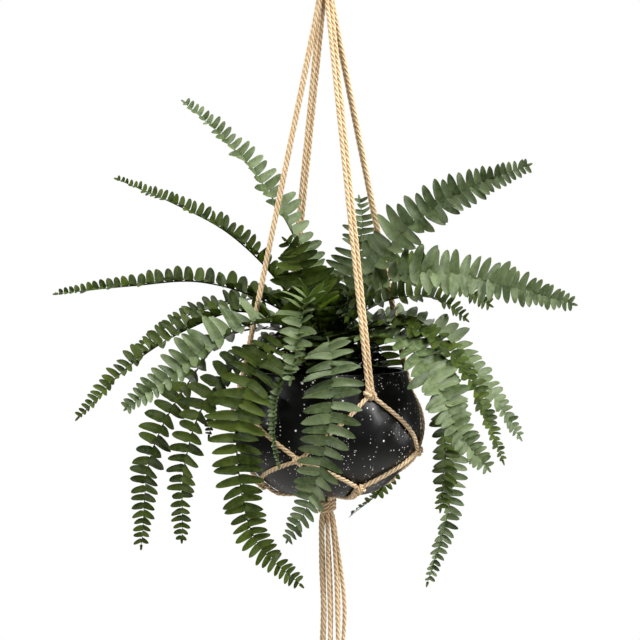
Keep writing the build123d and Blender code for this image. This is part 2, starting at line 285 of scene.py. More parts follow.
def leafMaterial(name, dark, light, under, stem, gloss):
    # Each leaflet's own tone, mottled and veined. Attributes say what is under side, stem or deep inside.
    # The under side's colour is partly its own and partly painted light shining through; deep inside gets
    # painted shade.
    material, tree, shader = newMaterial(name, Roughness=0.46, Specular_IOR_Level=gloss, Sheen_Weight=0.02,
                                         Sheen_Roughness=0.5)
    uv = addNode(tree, "TexCoord").outputs["UV"]
    place = objectPlace(tree)
    mottle = noise(tree, place, 90.0, 4.0)
    bloom = noise(tree, place, 210.0, 3.0)
    across = addNode(tree, "SeparateXYZ", {0: uv})
    offMiddle = maths(tree, "ABSOLUTE", maths(tree, "SUBTRACT", across.outputs[0], 0.5))
    # Side veins leave the midrib at a slant.
    slant = maths(tree, "MULTIPLY_ADD", offMiddle, -1.1, across.outputs[1])
    veins = maths(tree, "SINE", maths(tree, "MULTIPLY", slant, 60.0))
    rib = maths(tree, "MULTIPLY", ramp(tree, offMiddle, (0.015, 1), (0.06, 0)), 0.35)
    colour = mixed(tree, attribute(tree, "shade"), dark, light)
    layers = [(ramp(tree, mottle, (0.4, 0), (0.64, 0.5)), light),
              (ramp(tree, bloom, (0.5, 0), (0.7, 0.4)), light),
              (ramp(tree, bloom, (0.32, 0.4), (0.48, 0)), dark),
              (ramp(tree, veins, (0.2, 0), (1.0, 0.07)), dark),
              (rib, light),
              # Under side: partly its own colour, partly painted light shining through the leaf.
              (attribute(tree, "under"), under),
              (attribute(tree, "stem"), stem),
              # Painted shade: fronds deep inside the plant and at the back are darkened.
              (attribute(tree, "deep"), tone(8, 18, 1))]
    for factor, other in layers:
        colour = mixed(tree, factor, colour, other)
    tree.links.new(colour, shader.inputs["Base Color"])
    bump(tree, shader, maths(tree, "MULTIPLY_ADD", veins, 0.12, mottle), 0.25 * mm, 0.6)
    return material


def plainMaterial(name, dark, light, scale, roughness, metallic=0.0, distance=0.1 * mm, strength=0.5,
                  stretch=(1, 1, 1)):
    # One noise for the colour, the roughness and the bump.
    material, tree, shader = newMaterial(name, Metallic=metallic)
    grain = noise(tree, stretched(tree, objectPlace(tree), stretch), scale, 5.0)
    tree.links.new(mixed(tree, grain, dark, light), shader.inputs["Base Color"])
    rough = ramp(tree, grain, (0.2, roughness - 0.07), (0.8, roughness + 0.07))
    tree.links.new(rough, shader.inputs["Roughness"])
    bump(tree, shader, grain, distance, strength)
    return material


jute = juteMaterial()
glaze = potMaterial()
steel = plainMaterial("steel", tone(150, 151, 152), tone(196, 197, 198), 900.0, 0.36, metallic=1.0,
                      distance=0.03 * mm, strength=0.4, stretch=(1, 1, 0.2))
plastic = plainMaterial("plastic", tone(30, 31, 31), tone(44, 44, 43), 500.0, 0.55)
earth = plainMaterial("earth", tone(38, 26, 18), tone(84, 62, 44), 260.0, 0.93, distance=1.2 * mm,
                      strength=1.0)
fibre = plainMaterial("fibre", tone(62, 44, 28), tone(124, 94, 58), 420.0, 0.9, distance=0.8 * mm,
                      strength=1.0, stretch=(1, 1, 0.25))
# The under colours are partly the leaves' own and partly painted light shining through them.
leafGreen = leafMaterial("leaf_green", tone(24, 39, 3), tone(74, 89, 27), under=tone(72, 94, 2),
                         stem=tone(34, 38, 10), gloss=0.14)
# The pale leaf: its paler colour is painted sheen, and its gloss is higher.
leafPaintedSheen = leafMaterial("leaf_pale", tone(50, 68, 22), tone(110, 125, 84), under=tone(80, 104, 14),
                        stem=tone(64, 74, 34), gloss=0.3)
print("materials", len(bpy.data.materials))


looksAt = Vector((-0.0064, 0.0, -0.471))
down = math.radians(2.1)  # how far the camera looks down
camera = bpy.data.objects.new("camera", bpy.data.cameras.new("camera"))
camera.data.lens = 93.75
camera.data.sensor_width = 36
camera.location = looksAt + Vector((0, -math.cos(down), math.sin(down))) * 2.0
camera.rotation_euler = (looksAt - camera.location).to_track_quat("-Z", "Y").to_euler()
bpy.context.scene.collection.objects.link(camera)
bpy.context.scene.camera = camera
bpy.context.scene.view_settings.view_transform = "Standard"


def softBox(name, place, aim, size, power):
    # A flat lamp that faces its aim.
    light = bpy.data.lights.new(name, "AREA")
    light.shape = "RECTANGLE"
    light.size, light.size_y = size
    light.energy = power
    lamp = bpy.data.objects.new(name, light)
    lamp.location = place
    lamp.rotation_euler = (Vector(aim) - Vector(place)).to_track_quat("-Z", "Y").to_euler()
    bpy.context.scene.collection.objects.link(lamp)


softBox("key", (1.7, -0.7, 0.3), (0, 0, -0.5), (0.55, 0.9), 40)
softBox("front", (0.3, -1.7, 1.5), (0, 0, -0.5), (0.7, 0.7), 44)
softBox("fill", (-1.9, -0.6, 0.2), (0, 0, -0.5), (0.5, 1.0), 20)
softBox("top", (-0.1, 0.1, 1.6), (0, 0, -0.5), (1.3, 1.2), 46)
softBox("low", (-0.4, -1.7, -1.1), (0, 0, -0.8), (0.6, 0.4), 4.5)
softBox("back", (-0.2, 1.9, 0.8), (0, 0, -0.5), (1.6, 1.4), 17)
softBox("side_low", (2.0, 0.2, -0.8), (0, 0, -0.6), (0.3, 0.45), 11)
softBox("side_high", (1.6, 0.1, 1.0), (0, 0, -0.5), (0.35, 0.35), 12)

# The camera sees a white room, and the pieces are lit by a dim one.
world = bpy.data.worlds.new("studio")
world.use_nodes = True
tree = world.node_tree
tree.nodes.clear()
seen = addNode(tree, "Background", {"Color": (1, 1, 1, 1), "Strength": 1.0})
lit = addNode(tree, "Background", {"Color": (1, 1, 1, 1), "Strength": 0.1})
rays = addNode(tree, "LightPath")
both = addNode(tree, "MixShader", {0: rays.outputs["Is Camera Ray"], 1: lit.outputs[0], 2: seen.outputs[0]})
addNode(tree, "OutputWorld", {0: both.outputs[0]})
bpy.context.scene.world = world
print("camera and lights set")


# The outside of the pot's wall, which the cords lie on too: radius and height from the centre of the rim.
# The outline is given at the rim, the shoulder, the belly, the turn to the base and the foot.
outline = np.array([(95, 0), (101, -20), (109.5, -42), (113, -70), (106, -97), (90, -119), (61, -143.5),
                    (58, -145)]) * mm


def throughPoints(points, count):
    # Cubic spans through the points, with slopes from the neighbours, read at even steps.
    points = np.asarray(points, float)
    gone = np.r_[0, np.cumsum(np.linalg.norm(np.diff(points, axis=0), axis=1))]
    slopes = np.gradient(points, gone, axis=0)
    places = np.linspace(0, gone[-1], count)
    span = np.clip(np.searchsorted(gone, places, side="right") - 1, 0, len(points) - 2)
    width = (gone[span + 1] - gone[span])[:, None]
    share = (places[:, None] - gone[span][:, None]) / width
    return (points[span] * (1 + 2 * share) * (1 - share)**2
            + slopes[span] * width * share * (1 - share)**2
            + points[span + 1] * share**2 * (3 - 2 * share)
            + slopes[span + 1] * width * share**2 * (share - 1))


wall = throughPoints(outline, 400)


def potRadius(z):
    # The wall's radius at a height below the rim.
    return np.interp(-z, -wall[:, 1], wall[:, 0])


def around(azimuth, radius, z):
    # Degrees from the front, towards the right.
    turn = math.radians(azimuth)
    return rim + [radius * math.sin(turn), -radius * math.cos(turn), z]


def onPot(azimuth, z, lift):
    # A point of the wall, moved out by lift at right angles to it.
    slope = (potRadius(z + mm) - potRadius(z - mm)) / (2 * mm)
    long = math.hypot(1, slope)
    return around(azimuth, potRadius(z) + lift / long, z - lift * slope / long)


# The sling: ropes, wrap, knots and net. The wrap's heights are from the origin, the others from the rim.
# What apart says is the distance between ropes on the ring, and between the two cords of a pair at a knot.
ring = {"inner": 19 * mm, "wire": 2.5 * mm, "apart": 6.1 * mm, "fold": 6.9 * mm, "outerFold": 6.2 * mm}
wrap = {"top": -56 * mm, "bottom": -84 * mm, "legsOut": 7.9 * mm, "turns": 10, "out": 12.35 * mm,
        "cordR": 1.45 * mm, "lay": 8 * mm}
knot = {"deep": 9.5 * mm, "apart": 5.5 * mm, "cordR": 2.35 * mm, "lay": 14 * mm, "lowerZ": -131}
gather = {"z": -163 * mm, "turns": 3.2, "out": 8.9 * mm, "pitch": 4.3 * mm}
# Knots: degrees round the pot, and height in millimetres.
arms = {"front": (27.5, -23), "right": (110, -20), "back": (210, -24), "left": (285, -20)}
sideKnots = {"front_right": (76, -93), "back_right": (158, -92), "back_left": (247, -92),
             "front_left": (343, -95)}
# Ropes: place along the ring, then for each leg its degrees in the wrap, its arm and its side of that arm.
ropes = [(-1.5, (277, "left", -1), (232, "back", 1)), (-0.5, (320, "left", 1), (189, "back", -1)),
         (0.5, (9, "front", -1), (140, "right", 1)), (1.5, (52, "front", 1), (97, "right", -1))]
ropeStep = 1.25 * mm


def knotFrame(azimuth, z):
    # Centre, direction along the wall, up the wall, and away from it.
    centre = onPot(azimuth, z, 0.4 * mm + knot["deep"] / 2)
    away = unit(centre - onPot(azimuth, z, 0))
    turn = math.radians(azimuth)
    side = np.array([math.cos(turn), math.sin(turn), 0])
    return centre, side, np.cross(away, side), away


def inBundle(azimuth, z):
    # The middle of a leg, in the ring of eight legs that the wrap binds.
    turn = math.radians(azimuth)
    return np.array([wrap["legsOut"] * math.sin(turn), -wrap["legsOut"] * math.cos(turn), z])


def ropeLeg(x, fold, wireZ, inWrap, arm, sign, depth):
    # From the arm's shoulder knot, straight up into the wrap, and on to the ring's wire.
    azimuth, z = arms[arm]
    centre, side, up, away = knotFrame(azimuth, z * mm)
    hold = centre + side * sign * knot["apart"] / 2
    low = inBundle(inWrap, wrap["bottom"] - 4 * mm)
    return [hold, low + unit(hold - low) * 32 * mm, low, inBundle(inWrap, wrap["top"] + mm),
            np.array([x, depth, wireZ - 4 * mm]), np.array([x, depth, wireZ + fold])]


for number, (place, frontLeg, backLeg) in enumerate(ropes, 1):
    x = place * ring["apart"]
    fold = ring["fold"] if abs(place) < 1 else ring["outerFold"]
    wireZ = -ring["inner"] - math.sqrt((ring["inner"] + ring["wire"])**2 - x**2)
    points = ropeLeg(x, fold, wireZ, *frontLeg, -fold) + ropeLeg(x, fold, wireZ, *backLeg, fold)[::-1]
    line = readRoute(points, ropeStep)
    makePiece(f"laid_rope_{number}", [laidRope(line, startTurn=number * 1.3)], jute, "sling", "jute_rope",
              f"arm_rope_{number}")

# A thin cord wound ten times round the eight legs, its ends tucked in under the turns.
turns = np.linspace(0, wrap["turns"], 900)
coilR = wrap["out"] - 1.6 * mm * np.clip(1 - np.minimum(turns, wrap["turns"] - turns) * 3, 0, 1)
coilZ = wrap["top"] - 1.5 * mm + (wrap["bottom"] - wrap["top"] + 3 * mm) * turns / wrap["turns"]
coil = np.stack([coilR * np.sin(turns * 2 * math.pi), -coilR * np.cos(turns * 2 * math.pi), coilZ], axis=1)
part = laidRope(evenLine(coil, 1.0 * mm), wrap["cordR"], wrap["lay"])
makePiece("wound_cord", [part], jute, "sling", "jute_rope", "top_wrap")


def tiedKnot(centre, side, up, away, wide, high, deep, turn):
    # A tight overhand loop: three lobes, each passing over the next.
    t = np.linspace(0, 2 * math.pi, 220) + math.radians(90)
    across = (np.sin(t) + 2 * np.sin(2 * t)) / 3
    upward = (np.cos(t) - 2 * np.cos(2 * t)) / 3
    turned = math.radians(turn)
    x = (across * math.cos(turned) - upward * math.sin(turned)) * wide
    y = (across * math.sin(turned) + upward * math.cos(turned)) * high
    line = centre + x[:, None] * side + y[:, None] * up - (np.sin(3 * t) * deep)[:, None] * away
    return laidRope(evenLine(line, 1.0 * mm), knot["cordR"], knot["lay"])


# Degrees round the pot and height, then half the knot's width, height and depth, and its slant in degrees.
knotPlaces = {f"{arm}_shoulder_knot": (*place, 6.7, 5.9, 2.5, 20) for arm, place in arms.items()}
knotPlaces |= {f"{corner}_side_knot": (*place, 5.3, 4.8, 2.3, 55) for corner, place in sideKnots.items()}
knotPlaces |= {f"{arm}_lower_knot": (place[0], knot["lowerZ"], 5.2, 6.6, 2.3, 80)
               for arm, place in arms.items()}
for name, (azimuth, z, wide, high, deep, turn) in knotPlaces.items():
    part = tiedKnot(*knotFrame(azimuth, z * mm), wide * mm, high * mm, deep * mm, turn + azimuth * 0.2)
    makePiece(f"tied_{name}", [part], jute, "sling", "jute_rope", name)

neighbours = {"front": ("front_left", "front_right"), "right": ("front_right", "back_right"),
              "back": ("back_right", "back_left"), "left": ("back_left", "front_left")}


def netCord(start, end):
    # Along the wall from one knot to the next, with its azimuth and height changing evenly.
    route = np.array(start) + np.linspace(0, 1, 5)[:, None] * (np.array(end) - np.array(start))
    points = [onPot(azimuth, z * mm, cordR + 0.5 * mm) for azimuth, z in route]
    return laidRope(readRoute(points, ropeStep), startTurn=start[0])


def baseCord(azimuth, sign):
    # From a lower knot, under the pot to the gathering knot.
    centre, side, up, away = knotFrame(azimuth, knot["lowerZ"] * mm)
    shift = side * sign * knot["apart"] / 2
    points = [centre + shift - away * 2.2 * mm, onPot(azimuth, -140 * mm, cordR + 0.2 * mm) + shift,
              around(azimuth, 60 * mm, -147.6 * mm) + shift,
              around(azimuth, 34 * mm, -148.4 * mm) + shift * 0.8,
              around(azimuth, 10 * mm, -150.5 * mm) + shift * 0.7,
              around(azimuth, 4.6 * mm, gather["z"] + 3 * mm) + shift * 0.4]
    return laidRope(readRoute(points, ropeStep), startTurn=azimuth + sign)


for arm, corners in neighbours.items():
    azimuth, z = arms[arm]
    upper, lower = [], []
    for sign, corner in zip((-1, 1), corners):
        cornerAzimuth, cornerZ = sideKnots[corner]
        if cornerAzimuth - azimuth > 180:  # the short way round
            cornerAzimuth -= 360
        upper.append(netCord((azimuth, z), (cornerAzimuth, cornerZ)))
        lower.append(netCord((azimuth, knot["lowerZ"]), (cornerAzimuth, cornerZ)))
        lower.append(baseCord(azimuth, sign))
    makePiece(f"{arm}_net_upper_cords", upper, jute, "sling", "jute_rope", f"{arm}_upper_net")
    makePiece(f"{arm}_net_lower_cords", lower, jute, "sling", "jute_rope", f"{arm}_lower_net")

# The gathering knot: slanted turns round the eight cords.
turns = np.linspace(0, gather["turns"], 420)
knotR = gather["out"] - 2.6 * mm * np.clip(1 - np.minimum(turns, gather["turns"] - turns) * 3.5, 0, 1)
angle = turns * 2 * math.pi + 0.6
drop = (gather["turns"] / 2 - turns) * gather["pitch"]
wound = np.stack([knotR * np.cos(angle), knotR * np.sin(angle), drop], axis=1)
wound[:, 2] += 0.28 * wound[:, 0] + 0.1 * wound[:, 1]
line = evenLine(wound + rim + [0, 0, gather["z"]], 1.1 * mm)
makePiece("gathering_knot", [laidRope(line, startTurn=0.4)], jute, "sling", "jute_rope", "bottom_knot")
print("sling cords made")


# Tails, the free cords: length, and places of the line from the centre of the rim, in millimetres.
tails = {
    "front_1": (229, [(-4.5, -6, -175.5), (-6, -8, -205), (-5.5, -7, -240), (-2.5, -8, -285), (-4, -7, -330),
                      (-7, -9, -375), (-8, -8, -404)]),
    "front_2": (237, [(1.2, -7.5, -175.5), (0.5, -9, -208), (1.5, -10, -243), (3.6, -8.5, -288),
                      (3.4, -9.5, -335), (1.5, -8, -380), (2, -8.5, -412)]),
    "front_3": (223, [(6.5, -4, -175.5), (8.5, -6, -206), (11, -7.5, -241), (12.4, -6.5, -287),
                      (13.4, -7.5, -332), (12, -6.5, -372), (12.4, -7, -398)]),
    "front_4": (235, [(7.5, 2, -175.5), (11.5, 1, -207), (16.5, -1, -238), (22, -2, -283), (20, -1, -328),
                      (15.5, 0.5, -370), (17, 1.5, -409)]),
    "back_1": (226, [(-7.4, -0.4, -175.5), (-7.2, 0.5, -206), (-7, 1.5, -242), (-4.6, 0.4, -286),
                     (-6.2, 1, -331), (-9.4, 0.5, -371), (-10.5, 1.5, -401)]),
    "back_2": (232, [(-5.4, 5.2, -175.5), (-5.5, 7, -207), (-4, 8.5, -240), (-3, 7, -287), (-5, 8, -333),
                     (-4, 9.5, -377), (-5, 9, -407)]),
    "back_3": (228, [(-0.2, 7.6, -175.5), (1.5, 9.5, -205), (4, 10, -242), (5.5, 9, -289), (4.5, 11, -334),
                     (6.5, 10, -374), (7, 11, -403)]),
    "back_4": (236, [(5.4, 6.8, -175.5), (8.4, 8, -208), (12.5, 8, -240), (14.5, 9, -284), (13.5, 8, -330),
                     (16, 9.5, -376), (15.5, 9, -411)]),
}
for name, (length, points) in tails.items():
    first = np.array(points[0]) * (0.5, 0.5, 1) + [0, 0, 9]  # inside the gathering knot
    points = [rim + np.array(point) * mm for point in [first] + points]
    line = readRoute(points, ropeStep)
    piece = makePiece(f"tail_cord_{name}", [laidRope(line, finish=4, startTurn=length)], jute, "tassel",
                      "jute_rope", f"tail_{name}")
print("tails made")


def turnedPart(profile, segments, centre, dents):
    # A profile turned about the pot's axis, from the middle of its under side to the middle of its inside.
    # Each dent and wave only takes away from the radius.
    azimuth = np.linspace(0, 2 * math.pi, segments, endpoint=False)
    radius = profile[:, :1] + 0 * azimuth
    z = profile[:, 1:] + 0 * azimuth
    waveDeep = 0.3 * mm
    pushedIn = waveDeep / 2 * (2 - np.cos(3 * azimuth + 1.0) - np.cos(5 * azimuth + z * 60))
    for degrees, height, wide, high, depth in dents:
        off = (azimuth - math.radians(degrees) + math.pi) % (2 * math.pi) - math.pi
        away = (off * radius / (wide * mm))**2 + ((z - height * mm) / (high * mm))**2
        pushedIn = pushedIn + depth * mm * np.exp(-away)
    radius = radius - pushedIn * np.clip(radius / (60 * mm), 0, 1)
    rings = centre + np.stack([radius * np.sin(azimuth), -radius * np.cos(azimuth), z], axis=-1)
    return wrapPart(rings, np.arange(segments + 1) / segments, np.linspace(0, 1, len(profile)))


# The inside is the outside moved in by the wall's thickness, down to where the floor's curve starts.
inside = wall - [5 * mm, 0]
inside = inside[(inside[:, 0] > 57 * mm) & (wall[:, 1] > -132 * mm)]
lip = np.array([(94.2, 0.0), (92.6, 0.1), (90.8, -0.1), (90.1, -0.8)]) * mm
profile = np.concatenate([np.array([(1, -143.6), (40, -143.6), (50, -144.2), (54, -145)]) * mm,
                          wall[::-6][:-1], np.array([(95.0, -0.6)]) * mm, lip, inside[3::6],
                          np.array([(64, -137), (54, -138), (1, -138)]) * mm])
# Dents left by the potter's fingers: degrees, height, half width, half height and depth.
dents = [(38, -44, 12, 12, 1.5), (20, -56, 16, 16, 1.7), (36, -72, 11, 12, 1.5),
         (54, -66, 13, 15, 1.8), (48, -30, 14, 12, 1.2), (66, -52, 16, 18, 1.3), (8, -84, 22, 20, 1.4),
         (38, -92, 22, 18, 1.5), (352, -58, 20, 20, 1.3), (330, -72, 22, 20, 1.4),
         (310, -52, 18, 18, 1.3), (300, -98, 22, 18, 1.4), (276, -70, 20, 22, 1.3),
         (250, -60, 22, 22, 1.4), (225, -84, 22, 20, 1.4), (200, -56, 20, 22, 1.4),
         (172, -76, 24, 20, 1.4), (145, -54, 20, 20, 1.4), (120, -82, 22, 20, 1.4),
         (95, -56, 18, 20, 0.6), (85, -112, 20, 14, 0.8), (12, -118, 22, 12, 1.2)]
makePiece("glazed_pot", [turnedPart(profile, 240, rim, dents)], glaze, "sling", "pot_glaze", "pot")


def lumps(points, size, strength, seed):
    # Smooth bumps: a sum of waves in fixed random directions.
    waves = np.random.default_rng(seed)
    total = np.zeros(points.shape[:-1])
    for octave in range(22):
        direction = unit(waves.standard_normal(3))
        reach = size * waves.uniform(0.35, 1.0)
        total += np.sin(points @ direction * 2 * math.pi / reach + waves.uniform(0, 6.3))
    return total * strength / 4


# The soil: a lumpy top that fills the grow pot, and a plain block under it.
low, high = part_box("soil")
azimuth = np.linspace(0, 2 * math.pi, 96, endpoint=False)
soilR = min(high.x - low.x, high.y - low.y) / 2
radii = np.r_[0.5, np.linspace(3, 64.5, 26), 66.5, 66.9, 66.0, 52, 1]
radii = radii / radii.max() * soilR
radii[-2] = soilR - 0.19 * (high.z - low.z)
heights = np.r_[np.zeros(27), -1.5 * mm, -5 * mm, -12 * mm, low.z - high.z, low.z - high.z]
rings = np.stack([rim[0] + radii[:, None] * np.cos(azimuth), rim[1] - radii[:, None] * np.sin(azimuth),
                  high.z - 1.5 * mm + heights[:, None] + 0 * azimuth], axis=-1)
rings[:27, :, 2] += np.clip(lumps(rings[:27], 16 * mm, 1.1 * mm, 3), -2.2 * mm, 2.2 * mm)
part = wrapPart(rings[::-1, ::-1], np.arange(97) / 96, np.linspace(0, 1, len(rings)))
makePiece("potting_mix", [part], earth, "fern", "potting_soil", "soil")

# The crown: a fibrous mound with the stubs of old stems.
low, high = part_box("fern_crown")
azimuth = np.linspace(0, 2 * math.pi, 60, endpoint=False)
climb = np.linspace(0, 1, 30)[:, None]
crownR = (high.x - low.x) / 2 * np.cos(climb * math.pi / 2)**0.55 + 0.3 * mm
rings = np.stack([rim[0] + crownR * np.cos(azimuth), rim[1] + crownR * np.sin(azimuth),
                  low.z + (high.z - low.z - 3 * mm) * np.sin(climb * math.pi / 2) + 0 * azimuth], axis=-1)
heart = np.array([rim[0], rim[1], low.z + 10 * mm])
rings[1:] += lumps(rings[1:], 11 * mm, 1.5 * mm, 5)[..., None] * unit(rings[1:] - heart)
crownParts = [wrapPart(rings, np.arange(61) / 60, np.linspace(0, 1, 30))]
sixth = np.radians(np.arange(6) * 60)
for stub in range(46):
    turn, out = rng.uniform(0, 6.28), rng.uniform(3, 17) * mm
    lean = rng.uniform(0.2, 0.9)
    foot = rim + [out * math.sin(turn), -out * math.cos(turn), 2 * mm - out * 0.7]
    long = rng.uniform(9, 20) * mm
    direction = unit(np.array([lean * math.sin(turn), -lean * math.cos(turn), 1.0]))
    points = foot + np.linspace(0, long, 6)[:, None] * direction
    along, side, up = carryFrames(points)
    thick = rng.uniform(0.9, 1.5) * mm * np.array([1.2, 1.0, 1.05, 0.9, 0.85, 0.6])[:, None, None]
    tube = points[:, None] + thick * (np.cos(sixth)[:, None] * side[:, None]
                                      + np.sin(sixth)[:, None] * up[:, None])
    crownParts.append(wrapPart(tube, np.arange(7) / 6, np.linspace(0, 1, 6)))
makePiece("crown_mound", crownParts, fibre, "fern", "crown_fibre", "fern_crown")
print("pot and soil made")


# A leaflet: places along it and its width there, then eight points round each row: across, height and side.
rowPlaces = np.array([-0.03, 0.05, 0.16, 0.32, 0.5, 0.68, 0.83, 0.94, 1.0])
rowWidths = np.array([0.78, 0.93, 1.0, 1.0, 0.94, 0.82, 0.64, 0.38, 0.06])
crossPlaces = np.array([-1, -0.55, 0, 0.55, 1, 0.55, 0, -0.55])
crossHeights = np.array([0.25, 1, 0.6, 1, 0.25, -1, -1.4, -1])
underSide = np.array([0, 0, 0, 0, 0, 1, 1, 1])


def leafletPart(base, out, face, tipward, length, width, droop, bend, fold, shade, deep):
    # Closed thin blades, all at once. A blade goes out along a line that droops and bends towards the tip,
    # and is folded up along its midrib.
    def spread(values):
        return values[:, None, None, None] if values.ndim == 1 else values[:, None, None, :]

    u = rowPlaces[None, :, None, None]
    w = (rowWidths[:, None] * np.ones(8))[None, :, :, None]
    x = crossPlaces[None, None, :, None]
    # A small ear where the blade starts, on the side of the frond's tip, and a finely waved edge.
    across = np.cross(out, face)
    tipSide = np.sign(np.sum(across * tipward, axis=1))
    ear = 1 + 0.16 * np.exp(-((u - 0.1) / 0.09)**2) * (x * spread(tipSide) > 0)
    wavy = 1 + 0.05 * np.sin(u * 37 + 9 * spread(shade)) * np.abs(x)
    half = spread(width) / 2 * w * x * ear * wavy
    height = (spread(fold) * np.abs(half) - spread(droop) * spread(length) * u**2
              + 0.16 * mm * crossHeights[None, None, :, None] * (0.35 + 0.65 * w)
              + 0.025 * spread(length) * np.sin(u * 6 + 20 * spread(shade)) * x)
    points = (spread(base) + spread(out) * spread(length) * u + spread(across) * half
              + spread(tipward) * spread(bend) * spread(length) * u**2 + spread(face) * height)
    count, rows = len(base), len(rowPlaces)
    quads, ends = ringFaces(rows, 8)
    start = (np.arange(count) * rows * 8)[:, None, None]
    quads = (start + quads).reshape(-1, 4)
    ends = (start + ends).reshape(-1, 8)
    uv = np.stack(np.broadcast_arrays((crossPlaces + 1) / 2, rowPlaces[:, None]), axis=-1)
    uv = np.tile(uv.reshape(-1, 2), (count, 1))
    ones = np.ones((count, rows, 8))
    return (points.reshape(-1, 3), [quads, ends], [uv[quads], uv[ends]],
            {"shade": (ones * shade[:, None, None]).ravel(), "under": (ones * underSide).ravel(),
             "stem": (ones * 0).ravel(), "deep": (ones * deep).ravel()})


def frondParts(halfWidth, turn, places, rise=12, spacing=0.39, longer=1.0, start=38, facing=None, broad=1.0,
               deep=0.0):
    # A stem along the places, and leaflets square to it, in a blade that turns from up to the front.
    turn = turn if facing is None else facing
    foot = (places[0][0] * 0.7, places[0][1] * 0.7, 12.5)
    points = rim + np.array([foot, *places]) * mm
    rough = np.linalg.norm(np.diff(points, axis=0), axis=1).sum()
    line = evenLine(throughPoints(points, round(rough / (2 * mm))), 2 * mm)
    total = np.linalg.norm(np.diff(line, axis=0), axis=1).sum()
    share = np.linspace(0, total, len(line)) / total
    along = unit(np.gradient(line, axis=0))
    outward = unit((line[-1] - line[0]) * [1, 1, 0])
    upper = np.array([0, 0, 1]) + outward * 1.5 * np.clip(-along[:, 2:], 0, None)
    upper = unit(upper - along * np.sum(upper * along, axis=1, keepdims=True))
    front = np.array([0, -1.0, 0]) + along * along[:, 1:2]  # to the front, square to the stem
    face = unit(upper * (1 - turn * share)[:, None] + front * turn * share[:, None])
    side = np.cross(along, face)

    # The stem, a little sunk between the leaflets.
    ringAngle = np.radians(np.arange(8) * 45)
    thick = np.interp(share, [0, 0.3, 1], [1.5, 1.15, 0.35]) * mm
    tube = line[:, None] + thick[:, None, None] * (np.cos(ringAngle)[:, None] * side[:, None]
                                                   + np.sin(ringAngle)[:, None] * -face[:, None])
    parts = [wrapPart(tube, np.arange(9) / 8, share, shade=0.3, under=0.0, stem=1.0, deep=deep)]

    # Leaflets along both sides, smaller and closer towards the tip.
    first = min(0.3, start * mm / total)
    longest = halfWidth * mm * 1.28 * longer

    def lengthAt(s):
        opened = (s - first) / (1 - first)
        return longest * min(1, 0.72 + 1.2 * opened) * (1 - 0.76 * max(0, (opened - 0.36) / 0.64)**1.35)

    stations = []
    for sign in (-1, 1):
        s = first + (0.004 if sign > 0 else 0.0)
        while s < 0.996:
            length = lengthAt(s)
            stations.append((sign, s, length))
            s += (spacing * length + 3.9 * mm * (1 - length / longest)) / total
    sign, s, length = np.array(stations).T
    count = len(s)

    def at(values):
        return np.stack([np.interp(s, share, values[:, axis]) for axis in range(3)], axis=1)

    lean = np.radians(5 + 12 * np.clip((s - 0.5) / 0.5, 0, 1)**2 + rng.normal(0, 5, count))[:, None]
    lift = np.radians(rise + rng.normal(0, 8, count))[:, None]
    tipward, up = unit(at(along)), unit(at(face))
    sideways = unit(np.cross(tipward, up)) * sign[:, None]
    out = unit((sideways * np.cos(lean) + tipward * np.sin(lean)) * np.cos(lift) + up * np.sin(lift))
    twist = (np.radians(8 + rng.normal(0, 12, count)) * sign)[:, None]
    normal = unit(up - out * np.sum(up * out, axis=1, keepdims=True))
    normal = unit(normal * np.cos(twist) + np.cross(out, normal) * np.sin(twist))
    length = length * (1 + rng.normal(0, 0.06, count))
    width = np.interp(length / mm, [4, 14, 24, 36], [3.2, 7.2, 10.4, 13.4]) * mm * broad
    droop = 0.07 + rng.normal(0, 0.035, count)
    bend = 0.07 + rng.normal(0, 0.02, count)
    fold = 0.3 + rng.normal(0, 0.1, count)
    shade = rng.uniform(0, 1, count)**1.3
    parts.append(leafletPart(at(line) + up * 0.9 * mm, out, normal, tipward, length, width, droop, bend, fold,
                             shade, deep))
    # One last leaflet at the tip.
    parts.append(leafletPart(line[-2:-1], along[-1:], face[-1:], side[-1:], np.array([7 * mm]),
                             np.array([3.6 * mm]), np.array([0.05]), np.array([0.0]), np.array([0.1]),
                             np.array([0.5]), deep))
    return parts


